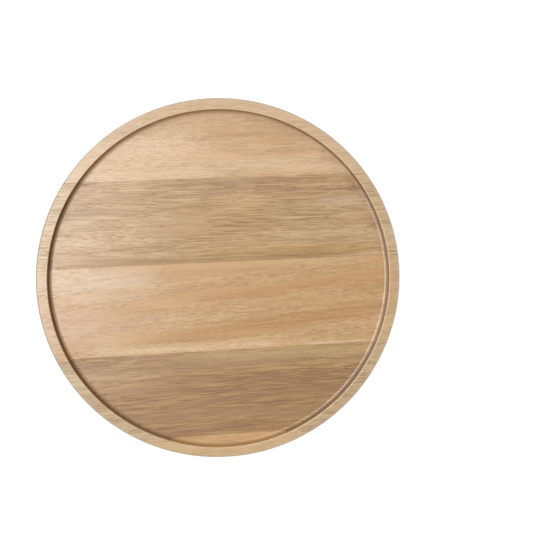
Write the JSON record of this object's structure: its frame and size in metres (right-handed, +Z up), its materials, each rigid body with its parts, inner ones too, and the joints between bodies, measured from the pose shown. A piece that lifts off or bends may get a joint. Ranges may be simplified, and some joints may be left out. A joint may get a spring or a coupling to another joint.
{
  "type": "serving board",
  "caption": "Round wooden serving board with a raised flat-topped rim round a shallow recess, turned from edge-glued staves; holds a pizza while it is carried, cut and served.",
  "frame": {"origin": "centre of the flat underside, on the surface that the board stands on", "axes": "+Z up out of the recess, +X along the grain and the glue lines, +Y across the staves to the far edge stave"},
  "size_m": [0.3, 0.3, 0.018],
  "materials": {
    "pale_acacia": "oiled, satin",
    "brown_acacia": "oiled, satin",
    "wood_glue": "cured, sanded flush"
  },
  "bodies": {
    "root": {"far_edge_stave": "pale_acacia", "far_stave": "brown_acacia", "centre_stave": "pale_acacia", "near_stave": "brown_acacia", "near_edge_stave": "pale_acacia", "far_edge_glue_line": "wood_glue", "far_glue_line": "wood_glue", "near_glue_line": "wood_glue", "near_edge_glue_line": "wood_glue"}
  },
  "joints": []
}
